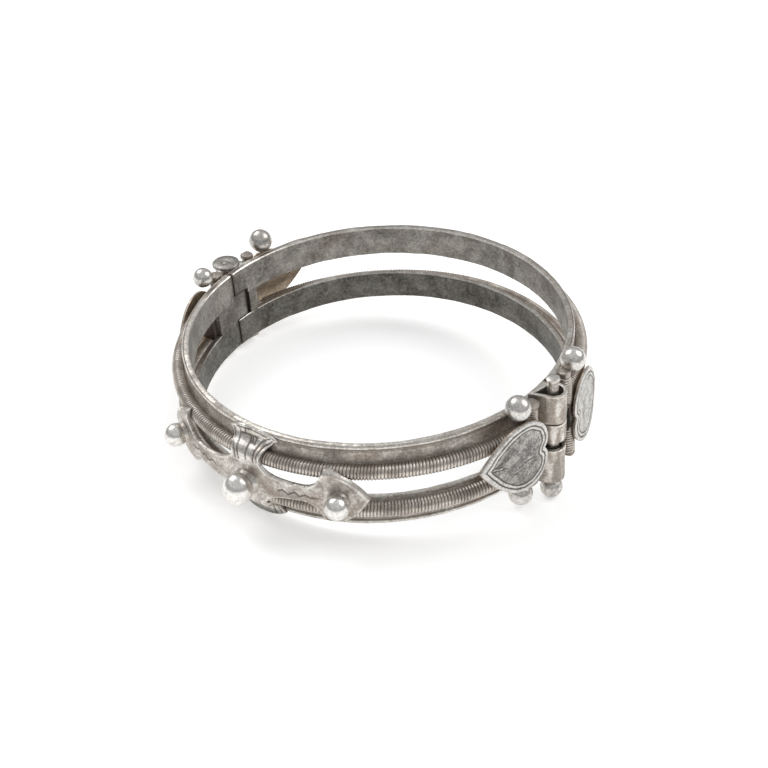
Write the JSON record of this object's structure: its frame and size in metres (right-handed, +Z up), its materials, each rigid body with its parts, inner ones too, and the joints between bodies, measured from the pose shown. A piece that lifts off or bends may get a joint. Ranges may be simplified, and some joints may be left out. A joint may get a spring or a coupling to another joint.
{
  "type": "hinged silver bangle",
  "caption": "Hinged silver bangle of two rails with wire-wound tubes, heart plates beside hinge and clasp, a raised cross with balls, and a pull-out clasp pin.",
  "frame": {"origin": "middle of the lying bangle's footprint, at the height of the surface it lies on", "axes": "+Z up from the surface; the hoop's own axis leans a few degrees from +Z because the clasp side rests on the ball of its pin; hinge at back left, clasp at front right, cross at front left"},
  "size_m": [0.064, 0.0664, 0.022],
  "materials": {
    "strip_silver": "aged silver strip, dull inside, brighter on the rims",
    "wound_silver_wire": "fine wire windings with dark patina between",
    "heart_silver": "worn grey silver with engraved border",
    "polished_silver_ball": "polished",
    "cross_silver": "worn silver with engraved lines",
    "pin_silver": "smooth worn silver"
  },
  "bodies": {
    "back_half": {"back_frame": "strip_silver", "back_upper_coil": "wound_silver_wire", "back_lower_coil": "wound_silver_wire", "back_hinge_heart": "heart_silver", "back_clasp_heart": "heart_silver", "back_hinge_post": "wound_silver_wire", "back_clasp_post": "wound_silver_wire", "back_hinge_ball": "polished_silver_ball", "back_clasp_ball_top": "polished_silver_ball", "hinge_pin": "pin_silver"},
    "front_half": {"front_frame": "strip_silver", "front_upper_coil": "wound_silver_wire", "front_lower_coil": "wound_silver_wire", "front_hinge_heart": "heart_silver", "front_clasp_heart": "heart_silver", "front_hinge_post": "wound_silver_wire", "front_clasp_post": "wound_silver_wire", "front_hinge_ball": "polished_silver_ball", "front_clasp_ball_top": "polished_silver_ball", "front_clasp_ball_low": "polished_silver_ball", "cross_ornament": "cross_silver"},
    "clasp_pin": {"clasp_pin": "pin_silver"}
  },
  "joints": [
    {"name": "hinge", "type": "hinge", "parent": "back_half", "child": "front_half", "pos_m": [-0.02412, 0.02174, 0.00828], "axis": [0.0899, 0.0223, -0.9957], "range_deg": [0, 115]},
    {"name": "clasp_pin_slide", "type": "slide", "parent": "front_half", "child": "clasp_pin", "axis": [0.0899, 0.0223, -0.9957], "range_m": [0, 0.0205]}
  ]
}
